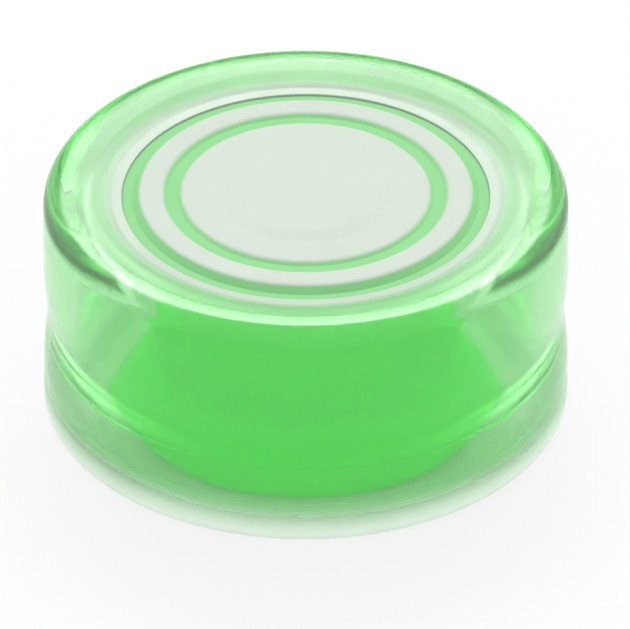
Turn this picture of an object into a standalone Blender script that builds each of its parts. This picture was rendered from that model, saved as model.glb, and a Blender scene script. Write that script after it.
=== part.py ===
"""String vibration dampener for a racket: a soft round button that sits between two main strings.

Five soft mouldings, all turned about +Z. The origin is the middle of the flat back face, and +Z runs
from the back flange, through the green core, to the ringed front face. Metres throughout.

The strings lie in the string plane, one on each side of the core's neck. The clear skirts of the front
and back flange meet there in a pair of soft lips, which part to let the strings in.
"""

import math

import bpy

MM = 0.001

# Driving dimensions
OUTER_R = 10.0 * MM
HEIGHT = 9.6 * MM
FACE_Z = 9.4 * MM
STRING_Z = 3.05 * MM
STRING_DIAMETER = 1.3 * MM
WALL = 1.4 * MM
FLOOR = 0.5 * MM
GAP = 0.05 * MM

# The skirts: edge radii, and the faint waist above the string plane
SHOULDER_ROUND = 0.85 * MM
REST_ROUND = 0.5 * MM
WALL_FOOT_Z = 0.75 * MM
WAIST_Z = 4.2 * MM
WAIST_DEPTH = 0.15 * MM
WAIST_REACH = 2.0 * MM
FRONT_WALL_STEPS = 8
BACK_WALL_STEPS = 4

# The lips meet on a shallow cone that falls towards the core
LIP_FALL = math.tan(math.radians(24))

# Front face, from the middle outwards
BOSS_R = 2.8 * MM
BOSS_FOOT_R = 3.4 * MM
BOSS_RISE = 0.1 * MM
DISC_R = 4.88 * MM
RING_INNER_R = 5.28 * MM
RING_OUTER_R = 6.6 * MM
RECESS_R = 7.0 * MM
RIM_R = 7.4 * MM
RIM_Z = 9.2 * MM
DISH_R = 8.2 * MM
DISH_Z = 9.5 * MM
CREST_R = 8.8 * MM

# Fillets of the front face
FACE_ROUND = 0.18 * MM
RIM_ROUND = 0.05 * MM
DISH_ROUND = 0.4 * MM
CREST_ROUND = 0.9 * MM
BOSS_ROUND = 1.0 * MM

# Core: a spool with a head, a neck where the strings sit, and a foot
CORE_TOP = 9.05 * MM
HEAD_R = 6.6 * MM
HEAD_BOTTOM = 8.3 * MM
NECK_R = 5.7 * MM
FOOT_R = 7.4 * MM
CORE_ROUND = 0.15 * MM
HEAD_ROUND = 0.5 * MM

# The back flange's peg, in the core's blind bore
PEG_R = 2.5 * MM
PEG_TOP = 4.6 * MM
PEG_CHAMFER = 0.4 * MM
PEG_FOOT_ROUND = 0.25 * MM
BORE_R = PEG_R + 0.06 * MM
BORE_TOP = PEG_TOP + 0.4 * MM

# Inside of the skirts
CAVITY_R = OUTER_R - WALL
CAVITY_ROUND = 0.4 * MM
ROOF_Z = 8.6 * MM
INLAY_Z = CORE_TOP + GAP

TURN_STEPS = 60
ARC_DEGREES = 24.0

# Linear base colour, alpha, roughness and how much light passes through
CLEAR_SKIN = ("clear_skin", (0.30, 0.78, 0.30), 0.45, 0.38, 0.75)
PALE_INLAY = ("pale_inlay", (0.74, 0.84, 0.73), 1.0, 0.42, 0.20)
GREEN_CORE = ("green_core", (0.12, 0.74, 0.12), 1.0, 0.50, 0.10)


def rounded(corners, closed):
    """Profile points from corners (radius, height, fillet): a fillet above 0 becomes its arc."""
    points = []
    for i, (r, z, fillet) in enumerate(corners):
        if fillet <= 0 or (not closed and i in (0, len(corners) - 1)):
            points.append((r, z))
            continue
        before, after = corners[i - 1], corners[(i + 1) % len(corners)]
        towards = math.atan2(before[1] - z, before[0] - r)
        away = math.atan2(after[1] - z, after[0] - r)
        turn = (away - towards + math.pi) % (2 * math.pi) - math.pi
        bisector = towards + turn / 2
        reach = fillet / math.sin(abs(turn) / 2)
        centre_r = r + reach * math.cos(bisector)
        centre_z = z + reach * math.sin(bisector)
        sweep = math.pi - abs(turn)
        steps = max(2, round(math.degrees(sweep) / ARC_DEGREES))
        sweep = math.copysign(sweep, turn)
        for k in range(steps + 1):
            angle = bisector + math.pi + sweep * (0.5 - k / steps)
            points.append((centre_r + fillet * math.cos(angle), centre_z + fillet * math.sin(angle)))
    return points


def wall_radius(z):
    """Outer radius of both skirts at height z: straight, with a faint waist."""
    reach = min(abs(z - WAIST_Z) / WAIST_REACH, 1.0)
    return OUTER_R - WAIST_DEPTH * 0.5 * (1.0 + math.cos(math.pi * reach))


def wall_run(z_start, z_end, steps):
    """Corners down the outer wall from z_start to z_end."""
    corners = []
    for i in range(steps + 1):
        z = z_start + (z_end - z_start) * i / steps
        corners.append((wall_radius(z), z, 0))
    return corners


def lip_z(radius):
    """Height of the cone on which the lips meet: the string plane at the middle of the wall."""
    return STRING_Z + (radius - (OUTER_R - WALL / 2)) * LIP_FALL


def material(name, colour, alpha, roughness, transmission):
    mat = bpy.data.materials.new(name)
    mat.use_nodes = True
    shader = mat.node_tree.nodes["Principled BSDF"]
    shader.inputs["Base Color"].default_value = (*colour, 1.0)
    shader.inputs["Alpha"].default_value = alpha
    shader.inputs["Roughness"].default_value = roughness
    shader.inputs["Metallic"].default_value = 0.0
    shader.inputs["Transmission Weight"].default_value = transmission
    mat.diffuse_color = (*colour, 1.0)
    return mat


def turned(name, profile, closed, mat, collection):
    """A piece turned about +Z. The profile lies at +X and runs down its outer side."""
    mesh = bpy.data.meshes.new(name)
    edges = [(i, i + 1) for i in range(len(profile) - 1)]
    if closed:
        edges.append((len(profile) - 1, 0))
    mesh.from_pydata([(r, 0.0, z) for r, z in profile], edges, [])
    mesh.materials.append(mat)
    obj = bpy.data.objects.new(name, mesh)
    collection.objects.link(obj)
    screw = obj.modifiers.new("Turn", "SCREW")
    screw.axis = "Z"
    screw.steps = TURN_STEPS
    screw.render_steps = TURN_STEPS
    screw.use_merge_vertices = True
    screw.merge_threshold = 0.000001
    screw.use_smooth_shade = True
    return obj


def front_flange_corners():
    """Rim, dish, crest, skirt and upper lip, bored through for the core's head and the inlays."""
    corners = [
        (RECESS_R, RIM_Z, RIM_ROUND),
        (RIM_R, RIM_Z, DISH_ROUND),
        (DISH_R, DISH_Z, CREST_ROUND),
        (CREST_R, HEIGHT, CREST_ROUND),
        (OUTER_R, HEIGHT, SHOULDER_ROUND),
    ]
    corners += wall_run(WAIST_Z + WAIST_REACH, lip_z(OUTER_R) + GAP / 2, FRONT_WALL_STEPS)
    corners += [
        (CAVITY_R, lip_z(CAVITY_R) + GAP / 2, 0),
        (CAVITY_R, ROOF_Z, CAVITY_ROUND),
        (HEAD_R + GAP, ROOF_Z, 0),
        (HEAD_R + GAP, INLAY_Z, 0),
        (RECESS_R, INLAY_Z, 0),
    ]
    return corners


def back_flange_corners():
    """Peg, floor, skirt with the lower lip, and the rounded resting edge."""
    corners = [
        (0, PEG_TOP, 0),
        (PEG_R - PEG_CHAMFER, PEG_TOP, 0),
        (PEG_R, PEG_TOP - PEG_CHAMFER, 0),
        (PEG_R, FLOOR, PEG_FOOT_ROUND),
        (CAVITY_R, FLOOR, CAVITY_ROUND),
        (CAVITY_R, lip_z(CAVITY_R) - GAP / 2, 0),
    ]
    corners += wall_run(lip_z(OUTER_R) - GAP / 2, WALL_FOOT_Z, BACK_WALL_STEPS)
    corners += [(OUTER_R, 0, REST_ROUND), (0, 0, 0)]
    return corners


def core_corners():
    """Spool: head, cone to the neck, cone to the foot, and a blind bore up from the foot."""
    foot_z = FLOOR + GAP
    return [
        (0, CORE_TOP, 0),
        (HEAD_R, CORE_TOP, CORE_ROUND),
        (HEAD_R, HEAD_BOTTOM, HEAD_ROUND),
        (NECK_R, STRING_Z, STRING_DIAMETER / 2),
        (FOOT_R, foot_z + CORE_ROUND, 0),
        (FOOT_R - CORE_ROUND, foot_z, 0),
        (BORE_R + PEG_CHAMFER, foot_z, 0),
        (BORE_R, foot_z + PEG_CHAMFER, 0),
        (BORE_R, BORE_TOP, 0),
        (0, BORE_TOP, 0),
    ]


def face_ring_corners():
    """Flat ring with softly rounded top edges."""
    return [
        (RING_INNER_R, FACE_Z, FACE_ROUND),
        (RING_OUTER_R, FACE_Z, FACE_ROUND),
        (RING_OUTER_R, INLAY_Z, 0),
        (RING_INNER_R, INLAY_Z, 0),
    ]


def centre_disc_corners():
    """Blank disc with a low boss in its middle."""
    return [
        (0, FACE_Z + BOSS_RISE, 0),
        (BOSS_R, FACE_Z + BOSS_RISE, BOSS_ROUND),
        (BOSS_FOOT_R, FACE_Z, BOSS_ROUND),
        (DISC_R, FACE_Z, FACE_ROUND),
        (DISC_R, INLAY_Z, 0),
        (0, INLAY_Z, 0),
    ]


def main():
    for obj in list(bpy.data.objects):
        bpy.data.objects.remove(obj)
    parts = bpy.data.collections.new("vibration_dampener")
    bpy.context.scene.collection.children.link(parts)
    skin = material(*CLEAR_SKIN)
    inlay = material(*PALE_INLAY)
    green = material(*GREEN_CORE)

    turned("back_flange", rounded(back_flange_corners(), False), False, skin, parts)

    # The front body lifts off the back flange along +Z, so its pieces hang on one empty on that axis
    front_body = bpy.data.objects.new("front_body", None)
    front_body.location = (0.0, 0.0, STRING_Z)
    parts.objects.link(front_body)
    for name, corners, closed, mat in [
        ("front_flange", front_flange_corners(), True, skin),
        ("damping_core", core_corners(), False, green),
        ("face_ring", face_ring_corners(), True, inlay),
        ("centre_disc", centre_disc_corners(), False, inlay),
    ]:
        piece = turned(name, rounded(corners, closed), closed, mat, parts)
        piece.parent = front_body
        piece.location = (0.0, 0.0, -STRING_Z)


main()
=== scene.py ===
"""Looks of the string vibration dampener: a soft clear button with a green core and a ringed face.

Every visible piece is turned about +Z as a fine mesh that follows its CAD node, and gets a
procedural material. Lengths are metres, in the frame of the CAD model.
"""

import math

import bmesh
import bpy
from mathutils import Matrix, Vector


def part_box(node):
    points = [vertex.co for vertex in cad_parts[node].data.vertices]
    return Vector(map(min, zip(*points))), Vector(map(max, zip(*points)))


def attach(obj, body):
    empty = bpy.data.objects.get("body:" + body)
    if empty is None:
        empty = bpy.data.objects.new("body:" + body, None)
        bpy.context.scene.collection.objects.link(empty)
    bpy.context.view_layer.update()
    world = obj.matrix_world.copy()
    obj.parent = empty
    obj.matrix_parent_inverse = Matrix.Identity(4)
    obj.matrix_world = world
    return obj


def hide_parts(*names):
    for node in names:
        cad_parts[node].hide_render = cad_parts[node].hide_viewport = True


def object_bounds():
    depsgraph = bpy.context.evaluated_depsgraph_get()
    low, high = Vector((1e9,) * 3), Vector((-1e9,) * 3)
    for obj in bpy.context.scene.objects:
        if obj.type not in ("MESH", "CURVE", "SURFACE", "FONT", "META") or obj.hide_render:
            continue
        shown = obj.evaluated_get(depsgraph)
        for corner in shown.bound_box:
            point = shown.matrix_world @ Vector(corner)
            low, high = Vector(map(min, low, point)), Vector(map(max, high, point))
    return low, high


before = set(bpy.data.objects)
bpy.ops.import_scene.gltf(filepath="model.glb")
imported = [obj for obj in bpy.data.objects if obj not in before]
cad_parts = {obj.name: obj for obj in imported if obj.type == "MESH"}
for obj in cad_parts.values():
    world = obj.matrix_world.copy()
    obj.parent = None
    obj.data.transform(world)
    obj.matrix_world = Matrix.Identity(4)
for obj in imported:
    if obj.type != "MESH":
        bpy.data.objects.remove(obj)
cad_low, cad_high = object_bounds()

MM = 0.001
TURN_STEPS = 240
ARC_DEGREES = 8.0


# ---------------------------------------------------------------- sizes


def radii(node):
    """Smallest and largest distance of a CAD node's points from the axis."""
    found = [math.hypot(v.co.x, v.co.y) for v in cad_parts[node].data.vertices]
    return min(found), max(found)


OUTER_R = cad_high.x
TOP_Z = cad_high.z
FACE_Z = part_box("face_ring")[1].z
STRING_Z = 3.05 * MM
WALL = 1.4 * MM
FLOOR = 0.5 * MM
SHOULDER_ROUND = 0.85 * MM
REST_ROUND = 0.5 * MM
WAIST_Z = 4.2 * MM
WAIST_DEPTH = 0.15 * MM
WAIST_REACH = 2.0 * MM
FRONT_WALL_STEPS = 16
BACK_WALL_STEPS = 10
WALL_FOOT_Z = 1.1 * REST_ROUND
LIP_GAP = 0.004 * MM
LIP_FALL = math.tan(math.radians(24))
CAVITY_R = OUTER_R - WALL
CAVITY_ROUND = 0.4 * MM
ROOF_Z = 8.6 * MM
RECESS_R = 7.0 * MM
RIM_R = 7.4 * MM
RIM_Z = 9.2 * MM
RIM_ROUND = 0.05 * MM
RIM_GROOVE_Z = 9.12 * MM
DISH_R = 8.2 * MM
DISH_Z = 9.5 * MM
DISH_ROUND = 0.4 * MM
CREST_R = 8.8 * MM
CREST_ROUND = 1.2 * MM
RING_INNER_R, RING_OUTER_R = radii("face_ring")
DISC_R = radii("centre_disc")[1]
INLAY_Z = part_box("face_ring")[0].z
GROOVE_Z = FACE_Z - 0.14 * MM
GROOVE_SLOPE = 0.2 * MM
RING_SLOPE = 0.3 * MM
EDGE_ROUND = 0.3 * MM
BOSS_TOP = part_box("centre_disc")[1].z
BOSS_R = 2.8 * MM
BOSS_FOOT_R = 3.4 * MM
BOSS_ROUND = 1.2 * MM
CORE_FOOT_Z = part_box("damping_core")[0].z
CORE_ROUND = 0.15 * MM
HEAD_R = 6.6 * MM
BRIM_R = 6.98 * MM
BRIM_STEP_R = 5.9 * MM
BRIM_DEPTH = 0.08 * MM
FOOT_R = radii("damping_core")[1]
HEAD_BOTTOM = 8.3 * MM
HEAD_ROUND = 0.5 * MM
NECK_R = 5.7 * MM
NECK_ROUND = 0.65 * MM
PEG_R = 2.5 * MM
PEG_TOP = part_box("back_flange")[1].z
PEG_CHAMFER = 0.4 * MM
PEG_EDGE_ROUND = 0.1 * MM
PEG_FOOT_ROUND = 0.25 * MM
BORE_R = 2.56 * MM
BORE_TOP = PEG_TOP + 0.4 * MM
BORE_EDGE_ROUND = 0.05 * MM
FOOT_EDGE_ROUND = 0.08 * MM
BOND = 0.02 * MM


# ---------------------------------------------------------------- turned shapes


def rounded(corners, closed):
    """Profile points from corners (radius, height, fillet): a fillet above 0 becomes its arc."""
    points = []
    for i, (r, z, fillet) in enumerate(corners):
        if fillet <= 0 or (not closed and i in (0, len(corners) - 1)):
            points.append((r, z))
            continue
        before, after = corners[i - 1], corners[(i + 1) % len(corners)]
        towards = math.atan2(before[1] - z, before[0] - r)
        away = math.atan2(after[1] - z, after[0] - r)
        turn = (away - towards + math.pi) % (2 * math.pi) - math.pi
        bisector = towards + turn / 2
        reach = fillet / math.sin(abs(turn) / 2)
        centre_r = r + reach * math.cos(bisector)
        centre_z = z + reach * math.sin(bisector)
        sweep = math.pi - abs(turn)
        steps = max(3, round(math.degrees(sweep) / ARC_DEGREES))
        sweep = math.copysign(sweep, turn)
        for k in range(steps + 1):
            angle = bisector + math.pi + sweep * (0.5 - k / steps)
            points.append((centre_r + fillet * math.cos(angle), centre_z + fillet * math.sin(angle)))
    return points


def turned(name, corners, closed):
    """A piece turned about +Z from corners that run down its outer side."""
    bm = bmesh.new()
    rings = []
    for r, z in rounded(corners, closed):
        if r < 1e-7:
            rings.append([bm.verts.new((0.0, 0.0, z))])
            continue
        angles = [2 * math.pi * i / TURN_STEPS for i in range(TURN_STEPS)]
        rings.append([bm.verts.new((r * math.cos(a), r * math.sin(a), z)) for a in angles])
    pairs = list(zip(rings, rings[1:]))
    if closed:
        pairs.append((rings[-1], rings[0]))
    for upper, lower in pairs:
        for i in range(TURN_STEPS):
            j = (i + 1) % TURN_STEPS
            face = [upper[i % len(upper)], lower[i % len(lower)]]
            if len(lower) > 1:
                face.append(lower[j])
            if len(upper) > 1:
                face.append(upper[j])
            bm.faces.new(face)
    mesh = bpy.data.meshes.new(name)
    bm.to_mesh(mesh)
    bm.free()
    mesh.shade_smooth()
    mesh.set_sharp_from_angle(angle=math.radians(35))
    piece = bpy.data.objects.new(name, mesh)
    bpy.context.scene.collection.objects.link(piece)
    return piece


def wall_radius(z):
    """Outer radius of both skirts at height z: straight, with a faint waist."""
    reach = min(abs(z - WAIST_Z) / WAIST_REACH, 1.0)
    return OUTER_R - WAIST_DEPTH * 0.5 * (1.0 + math.cos(math.pi * reach))


def wall_run(z_start, z_end, steps):
    """Corners down the outer wall from z_start to z_end."""
    heights = [z_start + (z_end - z_start) * i / steps for i in range(steps + 1)]
    return [(wall_radius(z), z, 0) for z in heights]


def lip_z(radius):
    """Height of the cone on which the lips meet."""
    return STRING_Z + (radius - (OUTER_R - WALL / 2)) * LIP_FALL


def front_flange():
    """Rim, dish, crest, skirt, upper lip and flat roof. It overlaps the core's head by BOND."""
    lip = lip_z(OUTER_R) + LIP_GAP / 2
    corners = [
        (RECESS_R, RIM_Z, RIM_ROUND),
        (RIM_R, RIM_Z, DISH_ROUND),
        (DISH_R, DISH_Z, CREST_ROUND),
        (CREST_R, TOP_Z, CREST_ROUND),
        (OUTER_R, TOP_Z, SHOULDER_ROUND),
    ]
    corners += wall_run(WAIST_Z + WAIST_REACH, lip, FRONT_WALL_STEPS)
    corners += [
        (CAVITY_R, lip_z(CAVITY_R) + LIP_GAP / 2, 0),
        (CAVITY_R, ROOF_Z, CAVITY_ROUND),
        (HEAD_R - BOND, ROOF_Z, 0),
        (HEAD_R - BOND, RIM_GROOVE_Z - BOND, 0),
        (RECESS_R - BOND, RIM_GROOVE_Z - BOND, 0),
    ]
    return turned("front_flange_skin", corners, True)


def back_flange():
    """Peg, floor, skirt with the lower lip, and the rounded resting edge."""
    lip = lip_z(OUTER_R) - LIP_GAP / 2
    corners = [
        (0, PEG_TOP, 0),
        (PEG_R - PEG_CHAMFER, PEG_TOP, PEG_EDGE_ROUND),
        (PEG_R, PEG_TOP - PEG_CHAMFER, PEG_EDGE_ROUND),
        (PEG_R, FLOOR, PEG_FOOT_ROUND),
        (CAVITY_R, FLOOR, CAVITY_ROUND),
        (CAVITY_R, lip_z(CAVITY_R) - LIP_GAP / 2, 0),
    ]
    corners += wall_run(lip, WALL_FOOT_Z, BACK_WALL_STEPS)
    corners += [(OUTER_R, 0, REST_ROUND), (0, 0, 0)]
    return turned("back_flange_skin", corners, False)


def damping_core():
    """Spool: head with a thin brim, cone to the neck, cone to the foot, and a blind bore."""
    corners = [
        (0, GROOVE_Z, 0),
        (BRIM_STEP_R, GROOVE_Z, 0),
        (BRIM_STEP_R, RIM_GROOVE_Z, 0),
        (BRIM_R, RIM_GROOVE_Z, 0),
        (BRIM_R, RIM_GROOVE_Z - BRIM_DEPTH, 0),
        (HEAD_R, RIM_GROOVE_Z - BRIM_DEPTH, 0),
        (HEAD_R, HEAD_BOTTOM, HEAD_ROUND),
        (NECK_R, STRING_Z, NECK_ROUND),
        (FOOT_R, CORE_FOOT_Z + CORE_ROUND, PEG_EDGE_ROUND),
        (FOOT_R - CORE_ROUND, CORE_FOOT_Z, FOOT_EDGE_ROUND),
        (BORE_R + PEG_CHAMFER, CORE_FOOT_Z, BORE_EDGE_ROUND),
        (BORE_R, CORE_FOOT_Z + PEG_CHAMFER, PEG_EDGE_ROUND),
        (BORE_R, BORE_TOP, BORE_EDGE_ROUND),
        (0, BORE_TOP, 0),
    ]
    return turned("damping_core_spool", corners, False)


def face_ring():
    """Flat ring whose sides slope down into the two grooves."""
    corners = [
        (RING_INNER_R, INLAY_Z, 0),
        (RING_INNER_R, GROOVE_Z, 0),
        (RING_INNER_R + GROOVE_SLOPE, FACE_Z, EDGE_ROUND),
        (RING_OUTER_R - RING_SLOPE, FACE_Z, EDGE_ROUND),
        (RING_OUTER_R, RIM_GROOVE_Z, 0),
        (RING_OUTER_R, INLAY_Z, 0),
    ]
    return turned("face_ring_inlay", corners, True)


def centre_disc():
    """Blank disc with a low boss in its middle."""
    corners = [
        (0, BOSS_TOP, 0),
        (BOSS_R, BOSS_TOP, BOSS_ROUND),
        (BOSS_FOOT_R, FACE_Z, BOSS_ROUND),
        (DISC_R - GROOVE_SLOPE, FACE_Z, EDGE_ROUND),
        (DISC_R, GROOVE_Z, 0),
        (DISC_R, INLAY_Z, 0),
        (0, INLAY_Z, 0),
    ]
    return turned("centre_disc_inlay", corners, False)


# ---------------------------------------------------------------- materials


class Shader:
    """A Principled material and the few node helpers its textures need."""

    def __init__(self, name, **values):
        self.mat = bpy.data.materials.new(name)
        self.mat.use_nodes = True
        self.tree = self.mat.node_tree
        self.surface = self.tree.nodes["Principled BSDF"]
        for socket, value in values.items():
            self.surface.inputs[socket.replace("_", " ")].default_value = value
        self.place = self.add("ShaderNodeTexCoord").outputs["Object"]

    def add(self, kind, **inputs):
        node = self.tree.nodes.new(kind)
        for socket, value in inputs.items():
            self.feed(node.inputs[socket.replace("_", " ")], value)
        return node

    def feed(self, socket, value):
        if isinstance(value, bpy.types.NodeSocket):
            self.tree.links.new(value, socket)
        else:
            socket.default_value = value

    def math(self, operation, a, b=0.0):
        node = self.add("ShaderNodeMath")
        node.operation = operation
        self.feed(node.inputs[0], a)
        self.feed(node.inputs[1], b)
        return node.outputs[0]

    def ramp(self, value, low, high, out_low=0.0, out_high=1.0):
        """Smooth step of value from low to high, scaled to out_low to out_high."""
        node = self.add(
            "ShaderNodeMapRange", Value=value, From_Min=low, From_Max=high, To_Min=out_low, To_Max=out_high
        )
        node.interpolation_type = "SMOOTHSTEP"
        return node.outputs["Result"]

    def noise(self, size, detail=2.0, seed=0.0):
        """Noise between 0 and 1 with features of about the given size in metres."""
        node = self.add("ShaderNodeTexNoise", Vector=self.place, Scale=1.0 / size, Detail=detail)
        node.noise_dimensions = "4D"
        node.inputs["W"].default_value = seed
        return node.outputs["Fac"]

    def mix(self, factor, a, b):
        node = self.add("ShaderNodeMix")
        node.data_type = "RGBA"
        self.feed(node.inputs[0], factor)
        self.feed(node.inputs[6], (*a, 1) if isinstance(a, tuple) else a)
        self.feed(node.inputs[7], (*b, 1) if isinstance(b, tuple) else b)
        return node.outputs[2]

    def split(self):
        """Distance from the axis, and height."""
        parts = self.add("ShaderNodeSeparateXYZ", Vector=self.place)
        square = self.math("MULTIPLY", parts.outputs["X"], parts.outputs["X"])
        other = self.math("MULTIPLY", parts.outputs["Y"], parts.outputs["Y"])
        return self.math("SQRT", self.math("ADD", square, other)), parts.outputs["Z"]

    def bump(self, height, depth):
        node = self.add("ShaderNodeBump", Height=height, Distance=depth, Strength=1.0)
        self.feed(self.surface.inputs["Normal"], node.outputs["Normal"])

    def finish(self, colour, roughness):
        self.feed(self.surface.inputs["Base Color"], colour)
        self.feed(self.surface.inputs["Roughness"], roughness)
        return self.mat


SKIN_TINT = (0.70, 0.93, 0.70)
SKIN_DEEP = (0.61, 0.91, 0.61)
# Near-white painted onto the resting edge: painted light standing in for the lit floor seen in it.
EDGE_PAINTED_LIGHT = (0.94, 0.98, 0.94)
# Paler, greyer colour painted onto the satin top face: a painted sheen.
FACE_PAINTED_SHEEN = (0.62, 0.76, 0.62)
# Dark grey painted onto the band just outside the recess: painted shade.
RIM_PAINTED_SHADE = (0.36, 0.39, 0.36)
SKIN_ABSORPTION = (0.08, 0.90, 0.08, 1)
SKIN_DENSITY = 120.0
INLAY_SHADE = (0.33, 0.375, 0.325)
INLAY_PALE = (0.37, 0.41, 0.365)
# Darker green painted down the inlays' sloped sides: painted shade in the grooves.
INLAY_SLOPE_PAINTED_SHADE = (0.18, 0.42, 0.18)
CORE_SHADE = (0.065, 0.94, 0.065)
CORE_GREEN = (0.09, 0.98, 0.09)
# Dull dark green painted where the core shows in the grooves: painted shade.
CORE_GROOVE_PAINTED_SHADE = (0.16, 0.38, 0.16)


def clear_skin():
    """Clear soft skin, tinted by its depth: a satin face with a painted sheen, a rim band with painted
    shade, and a rougher, less clear resting edge painted near-white as painted light from the floor.
    """
    shader = Shader("clear_skin", IOR=1.42)
    radius, height = shader.split()
    high = shader.ramp(height, 8.9 * MM, 9.1 * MM)
    on_face = shader.math("MULTIPLY", shader.ramp(radius, 8.5 * MM, 9.1 * MM, 1.0, 0.0), high)
    on_collar = shader.math("MULTIPLY", shader.ramp(radius, 8.2 * MM, 9.2 * MM, 1.0, 0.0), high)
    on_rim = shader.math("MULTIPLY", shader.ramp(radius, 7.35 * MM, 7.8 * MM, 1.0, 0.0), high)
    on_edge = shader.ramp(height, 0.3 * MM, 1.9 * MM, 1.0, 0.0)
    colour = shader.mix(shader.noise(2.5 * MM, 3.0), SKIN_DEEP, SKIN_TINT)
    # The resting edge is painted near-white: painted light from the lit floor.
    colour = shader.mix(on_edge, colour, EDGE_PAINTED_LIGHT)
    # The top face is painted paler: a painted sheen over the satin surface.
    colour = shader.mix(on_face, colour, FACE_PAINTED_SHEEN)
    # The band just outside the recess is painted dark grey: painted shade.
    colour = shader.mix(on_rim, colour, RIM_PAINTED_SHADE)
    rough = shader.ramp(shader.noise(1.2 * MM, 2.0, 5.0), 0.3, 0.7, 0.08, 0.12)
    rough = shader.math("ADD", rough, shader.math("MULTIPLY", on_face, 0.28))
    rough = shader.math("ADD", rough, shader.math("MULTIPLY", on_edge, 0.50))
    grain = shader.noise(0.12 * MM, 2.0, 3.0)
    grain = shader.math("MULTIPLY", grain, shader.math("ADD", on_face, 0.2))
    wave = shader.math("MULTIPLY", shader.noise(3.0 * MM, 1.0, 7.0), 2.0)
    shader.bump(shader.math("ADD", grain, wave), 0.002 * MM)
    clear = shader.math("SUBTRACT", 0.94, shader.math("MULTIPLY", on_edge, 0.55))
    clear = shader.math("SUBTRACT", clear, shader.math("MULTIPLY", on_collar, 0.12))
    clear = shader.math("SUBTRACT", clear, shader.math("MULTIPLY", on_rim, 0.45))
    shader.feed(shader.surface.inputs["Transmission Weight"], clear)
    volume = shader.add("ShaderNodeVolumeAbsorption", Color=SKIN_ABSORPTION, Density=SKIN_DENSITY)
    output = shader.tree.nodes["Material Output"]
    shader.tree.links.new(volume.outputs["Volume"], output.inputs["Volume"])
    return shader.finish(colour, rough)


def pale_inlay():
    """Pale matte inlay, painted darker green down its sloped sides as painted shade in the grooves."""
    shader = Shader("pale_inlay", IOR=1.42, Specular_IOR_Level=0.05)
    colour = shader.mix(shader.noise(1.8 * MM, 3.0), INLAY_SHADE, INLAY_PALE)
    _, height = shader.split()
    on_top = shader.ramp(height, FACE_Z - 0.09 * MM, FACE_Z - 0.02 * MM)
    # The sloped sides are painted darker green: painted shade in the grooves.
    colour = shader.mix(on_top, INLAY_SLOPE_PAINTED_SHADE, colour)
    rough = shader.ramp(shader.noise(1.0 * MM, 2.0, 5.0), 0.3, 0.7, 0.38, 0.46)
    shader.bump(shader.noise(0.12 * MM, 2.0, 3.0), 0.004 * MM)
    return shader.finish(colour, rough)


def green_core():
    """Saturated matte green, painted duller and darker where the core shows in the grooves, as painted
    shade.
    """
    shader = Shader("green_core", IOR=1.42, Specular_IOR_Level=0.1)
    colour = shader.mix(shader.noise(2.0 * MM, 3.0), CORE_SHADE, CORE_GREEN)
    _, height = shader.split()
    on_top = shader.ramp(height, RIM_GROOVE_Z - 0.03 * MM, RIM_GROOVE_Z - 0.01 * MM)
    # The core's top in the grooves is painted dull dark green: painted shade.
    colour = shader.mix(on_top, colour, CORE_GROOVE_PAINTED_SHADE)
    rough = shader.ramp(shader.noise(1.0 * MM, 2.0, 5.0), 0.3, 0.7, 0.5, 0.6)
    shader.bump(shader.noise(0.2 * MM, 2.0, 3.0), 0.004 * MM)
    return shader.finish(colour, rough)


# ---------------------------------------------------------------- stage, light and camera

VIEW_ELEVATION = math.radians(34.15)
CAMERA_DISTANCE = 90 * OUTER_R
FRAME_WIDTH = 2.403 * OUTER_R
AIM_RIGHT = 0.035 * OUTER_R
AIM_DOWN = 0.087 * OUTER_R

STUDIO_LIGHT = 1.3
PANEL_LIGHT = 11.5
HORIZON_LIGHT = 0.25
FLOOR_GLOW = 0.80
FLOOR_HALF = 2.0
FLOOR_DROP = 0.02 * MM


def make_world():
    """Even studio light, one soft panel behind the object and above it, and a dim patch low behind it."""
    world = bpy.data.worlds.new("studio")
    world.use_nodes = True
    tree = world.node_tree
    place = tree.nodes.new("ShaderNodeTexCoord")
    parts = tree.nodes.new("ShaderNodeSeparateXYZ")
    tree.links.new(place.outputs["Generated"], parts.inputs[0])

    def math_node(operation, *values):
        node = tree.nodes.new("ShaderNodeMath")
        node.operation = operation
        for socket, value in zip(node.inputs, values):
            if isinstance(value, bpy.types.NodeSocket):
                tree.links.new(value, socket)
            else:
                socket.default_value = value
        return node.outputs[0]

    def step(value, low, high):
        node = tree.nodes.new("ShaderNodeMapRange")
        node.interpolation_type = "SMOOTHSTEP"
        node.inputs["From Min"].default_value = low
        node.inputs["From Max"].default_value = high
        tree.links.new(value, node.inputs["Value"])
        return node.outputs["Result"]

    side = step(math_node("ABSOLUTE", parts.outputs["X"]), 0.50, 0.18)
    low_edge = step(parts.outputs["Z"], 0.40, 0.74)
    high_edge = step(parts.outputs["Z"], 0.92, 0.80)
    back_edge = step(parts.outputs["Y"], 0.0, 0.2)
    band = math_node("MULTIPLY", low_edge, high_edge)
    panel = math_node("MULTIPLY", math_node("MULTIPLY", side, back_edge), band)
    behind = step(math_node("ABSOLUTE", parts.outputs["X"]), 0.55, 0.30)
    dim = math_node("MULTIPLY", step(parts.outputs["Y"], 0.3, 0.7), step(parts.outputs["Z"], 0.55, 0.30))
    dim = math_node("MULTIPLY", dim, behind)
    even = math_node("MULTIPLY_ADD", dim, HORIZON_LIGHT - STUDIO_LIGHT, STUDIO_LIGHT)
    strength = math_node("MULTIPLY_ADD", panel, PANEL_LIGHT - STUDIO_LIGHT, even)
    background = tree.nodes["Background"]
    background.inputs["Color"].default_value = (1, 1, 1, 1)
    tree.links.new(strength, background.inputs["Strength"])
    bpy.context.scene.world = world


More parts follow.
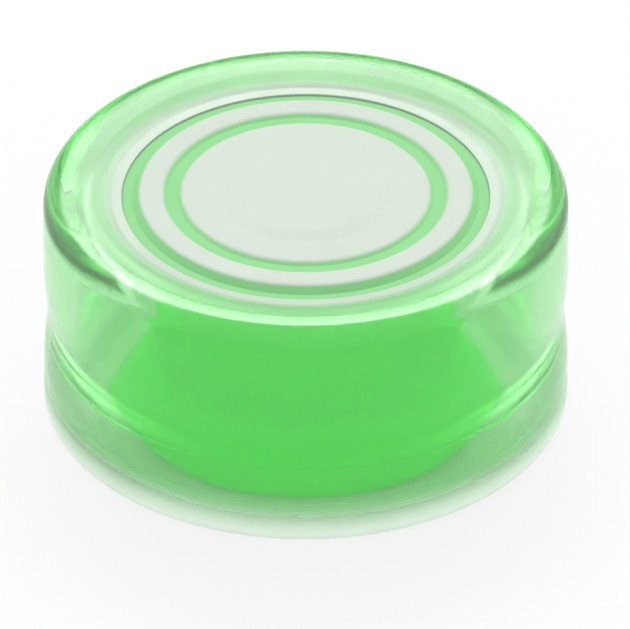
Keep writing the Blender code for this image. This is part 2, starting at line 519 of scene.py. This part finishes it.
def make_floor():
    """Plain pale floor with a faint glow of its own."""
    mesh = bpy.data.meshes.new("floor")
    corners = [(-1, -1), (1, -1), (1, 1), (-1, 1)]
    mesh.from_pydata([(x * FLOOR_HALF, y * FLOOR_HALF, 0) for x, y in corners], [], [(0, 1, 2, 3)])
    floor = bpy.data.objects.new("floor", mesh)
    floor.location.z = -FLOOR_DROP
    bpy.context.scene.collection.objects.link(floor)
    shader = Shader("floor", Base_Color=(0.10, 0.10, 0.10, 1), Roughness=0.8, Specular_IOR_Level=0.0)
    shader.surface.inputs["Emission Color"].default_value = (1, 1, 1, 1)
    shader.surface.inputs["Emission Strength"].default_value = FLOOR_GLOW
    mesh.materials.append(shader.mat)


def make_camera():
    """Camera at the photo's angle, far enough away to look almost parallel."""
    back = Vector((0, -math.cos(VIEW_ELEVATION), math.sin(VIEW_ELEVATION)))
    turn = (-back).to_track_quat("-Z", "Y")
    aim = Vector((0, 0, (cad_low.z + cad_high.z) / 2))
    aim += turn @ Vector((AIM_RIGHT, -AIM_DOWN, 0))
    lens = bpy.data.cameras.new("camera")
    lens.lens = lens.sensor_width * CAMERA_DISTANCE / FRAME_WIDTH
    lens.clip_start, lens.clip_end = 0.01, 20
    camera = bpy.data.objects.new("camera", lens)
    camera.rotation_mode = "QUATERNION"
    camera.rotation_quaternion = turn
    camera.location = aim + back * CAMERA_DISTANCE
    bpy.context.scene.collection.objects.link(camera)
    bpy.context.scene.camera = camera


make_camera()
make_world()
make_floor()
bpy.context.scene.view_settings.view_transform = "Standard"

skin, inlay, green = clear_skin(), pale_inlay(), green_core()
for make, node, body, slot, mat in [
    (front_flange, "front_flange", "front", "clear_skin", skin),
    (back_flange, "back_flange", "back", "clear_skin", skin),
    (damping_core, "damping_core", "front", "green_core", green),
    (face_ring, "face_ring", "front", "pale_inlay", inlay),
    (centre_disc, "centre_disc", "front", "pale_inlay", inlay),
]:
    piece = make()
    piece.data.materials.append(mat)
    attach(piece, body)
    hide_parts(node)
